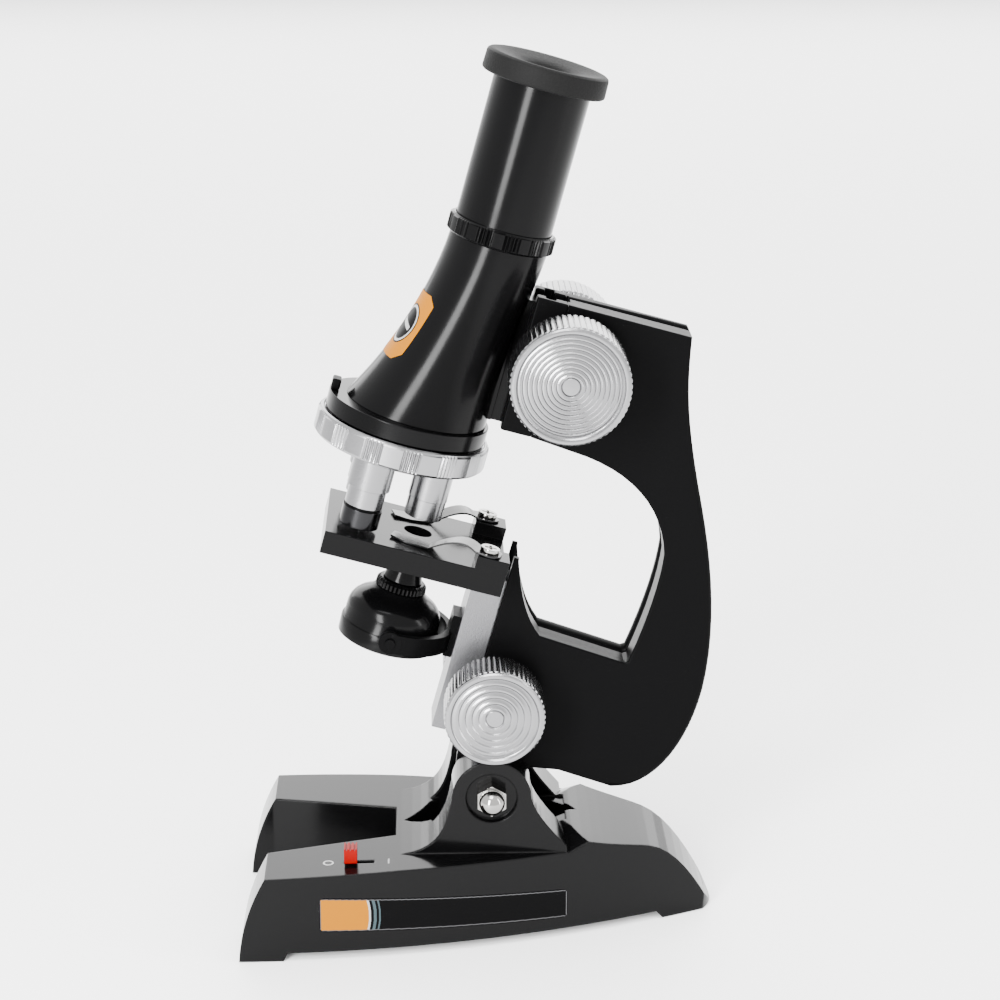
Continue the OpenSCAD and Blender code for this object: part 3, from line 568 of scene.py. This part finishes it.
TUBE_AXIS = -34.0  # u of the eyepiece tube's axis, in mm
FLARE = (87.2, 132.3)  # w where the flare of the tube begins and ends
FLARE_RADIUS = (12, 5.5, 2.6)  # radius of the neck, growth to the foot, power
FLARE_OFFSET = (8.5, 1.38)  # how far the foot's axis runs forward, power
TUBE_LABEL_ANGLE = math.radians(-76)
OCTAGON = (6.5, 8.5)  # half width and half height
OCTAGON_CUT = (4, 6.5, 1.25, 2.5)  # where the cut corners start, their slope and their size
TUBE_GRID = (132, 172)
TUBE_MARGIN = 0.1  # how far the grid runs past the octagon
DISC_HALF = (4.6, 5.2)  # half width and half height of the printed disc
DISC_INSIDE, DISC_OUTLINE = 0.80, 0.92  # shares of its size
BAR_SLOPE = (0.9, 0.25)
BAR_HALF, BAR_REACH = 0.5, 0.62
TUBE_INKS = ("orange", "print_black", "print_white")


def make_tube_label():
    """Eight-sided orange film with a dark disc, a white outline and a white bar."""
    low, high = local_box("tube_label")
    mid_w = (low.z + high.z) / 2

    def section(w):
        """Radius of the tube, and u of its axis, at height w."""
        t = min(max((w - FLARE[0]) / (FLARE[1] - FLARE[0]), 0), 1)
        neck, growth, power = FLARE_RADIUS
        run, run_power = FLARE_OFFSET
        return neck + growth * (1 - t) ** power, TUBE_AXIS - run * (1 - t) ** run_power

    def surface(a, w):
        r, u = section(w)
        r += FILM_LIFT
        angle = TUBE_LABEL_ANGLE + a / r
        return ARM @ (Vector((r * math.cos(angle), u + r * math.sin(angle), w)) * MM)

    def keep(a, w):
        x, y = abs(a), abs(w - mid_w)
        cut_x, cut_y, slope, size = OCTAGON_CUT
        return x < OCTAGON[0] and y < OCTAGON[1] and (x - cut_x) + (y - cut_y) * slope < size

    def pick(a, w):
        d = math.hypot(a / DISC_HALF[0], (w - mid_w) / DISC_HALF[1])
        if d < DISC_INSIDE:
            off_bar = abs((w - mid_w) * BAR_SLOPE[0] + a * BAR_SLOPE[1])
            return 2 if off_bar < BAR_HALF and d < BAR_REACH else 1
        if d < DISC_OUTLINE:
            return 2
        return 1 if d < 1.0 else 0

    half_a, half_w = OCTAGON[0] + TUBE_MARGIN, OCTAGON[1] + TUBE_MARGIN
    grid = ((-half_a, half_a, TUBE_GRID[0]), (mid_w - half_w, mid_w + half_w, TUBE_GRID[1]))
    film("tube_label", grid, surface, pick, keep, TUBE_INKS)


MARK_OFF = (-5.6, 21.78)  # along Y from the switch, height in mm
MARK_ON = (9.4, 22.15)
MARK_RING = (0.9, 1.35)  # inner and outer radius
MARK_BAR = (2.6, 0.45)
MARK_HEIGHT = 0.08
MARK_STEPS = 48


def make_marks():
    """Generic on and off marks, a bar and a ring, either side of the switch."""
    low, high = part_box("switch_slider")
    x = (low[0] + high[0]) / 2 / MM
    mid = (low[1] + high[1]) / 2 / MM
    for name, (along, z) in (("mark_off", MARK_OFF), ("mark_on", MARK_ON)):
        place = Matrix.Translation((x * MM, (mid + along) * MM, z * MM))
        if name == "mark_off":
            inner, outer = MARK_RING
            rings = plain([(0, inner), (MARK_HEIGHT, inner), (MARK_HEIGHT, outer), (0, outer)])
            obj = lathe(name, place, rings, MARK_STEPS, closed=False)
        else:
            bm = bmesh.new()
            bmesh.ops.create_cube(bm, size=1)
            size = (MARK_BAR[0] * MM, MARK_BAR[1] * MM, MARK_HEIGHT * MM)
            for v in bm.verts:
                v.co = place @ Vector([c * s for c, s in zip(v.co, size)])
            obj = new_object(name, bm)
        obj.data.materials.append(M["print_white"])
        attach(obj, "base")


def make_all():
    make_arm()
    for knob in KNOBS:
        make_knob(*knob)
    make_ring()
    make_disc()
    make_eyecup()
    make_lamp()
    make_objectives()
    make_side_label()
    make_tube_label()
    make_marks()
    for node, mat, width in DETAILED:
        detailed(node, mat, width)


FINISH_OF_SLOT = {
    "black_gloss": "gloss", "black_side": "satin", "black_cup": "rubber",
    "silver_plastic": "silver", "objective_silver": "barrel", "steel": "steel",
    "dark_steel": "dark", "white_plastic": "white", "red_plastic": "red", "label": "orange",
    "cell": "cell", "contact": "brass", "glass": "glass", "mirror": "mirror",
}


def paint_kept():
    """Every CAD node takes the procedural finish of its slot, and shows it where it is kept."""
    for node, obj in frame["nodes"].items():
        finish = "base" if node == "base_shell" else FINISH_OF_SLOT[SLOT_OF[node]]
        obj.data.materials.clear()
        obj.data.materials.append(M[finish])


# -------------------------------------------------------------------- stage
FLOOR_SIZE = 12.0
FLOOR_AT = (0, 0, -0.0002)
WORLD_STRENGTH = 2.8
LIGHTS = (  # name, place, target, width, power, height where it isn't square
    ("backdrop", (-1.7, 0, 1.0), (0, 0, 0.0), 3.0, 70, 1.6),
    ("strip", (0.75, -0.42, 0.40), (0, -0.02, 0.14), 0.20, 26, 0.6),
    ("side_strip", (0.25, 0.75, 0.30), (0, 0, 0.13), 0.10, 4, 0.7),
    ("top", (0.35, -0.1, 1.1), (0, 0, 0.1), 0.5, 12, None),
)
CAMERA_AT = Vector((0.57479, -0.01106, 0.29104))
CAMERA_TO = Vector((0.0, 0.0054, 0.10863))
LENS = 87.9
SENSOR = 36
CLIP_START = 0.05


def make_floor():
    bpy.ops.mesh.primitive_plane_add(size=FLOOR_SIZE, location=FLOOR_AT)
    floor = bpy.context.object
    floor.name = "studio_floor"
    pale = material("pale_floor", (0.93, 0.93, 0.93), 0.6, grain=30, bump=0.0, tint=0.005)
    floor.data.materials.append(pale)


def place_facing(name, data, place, target):
    """Link a lamp or camera that looks from place towards target."""
    obj = bpy.data.objects.new(name, data)
    obj.location = place
    obj.rotation_euler = (Vector(target) - Vector(place)).to_track_quat("-Z", "Y").to_euler()
    bpy.context.scene.collection.objects.link(obj)
    return obj


def make_lights():
    """A pale studio, brightest behind the object, with a tall strip for the tube's highlight."""
    world = bpy.data.worlds.new("studio")
    bpy.context.scene.world = world
    world.use_nodes = True
    back = world.node_tree.nodes["Background"]
    back.inputs["Color"].default_value = (1, 1, 1, 1)
    back.inputs["Strength"].default_value = WORLD_STRENGTH
    for name, place, target, width, power, height in LIGHTS:
        lamp = bpy.data.lights.new(name, "AREA")
        lamp.energy = power
        lamp.size = width
        if height:
            lamp.shape = "RECTANGLE"
            lamp.size_y = height
        place_facing(name, lamp, place, target)


def make_camera():
    """The camera that was fitted to the photograph."""
    cam = bpy.data.cameras.new("photo_camera")
    cam.lens = LENS
    cam.sensor_width = SENSOR
    cam.clip_start = CLIP_START
    bpy.context.scene.camera = place_facing("photo_camera", cam, CAMERA_AT, CAMERA_TO)


paint_kept()
make_all()
make_floor()
make_lights()
make_camera()
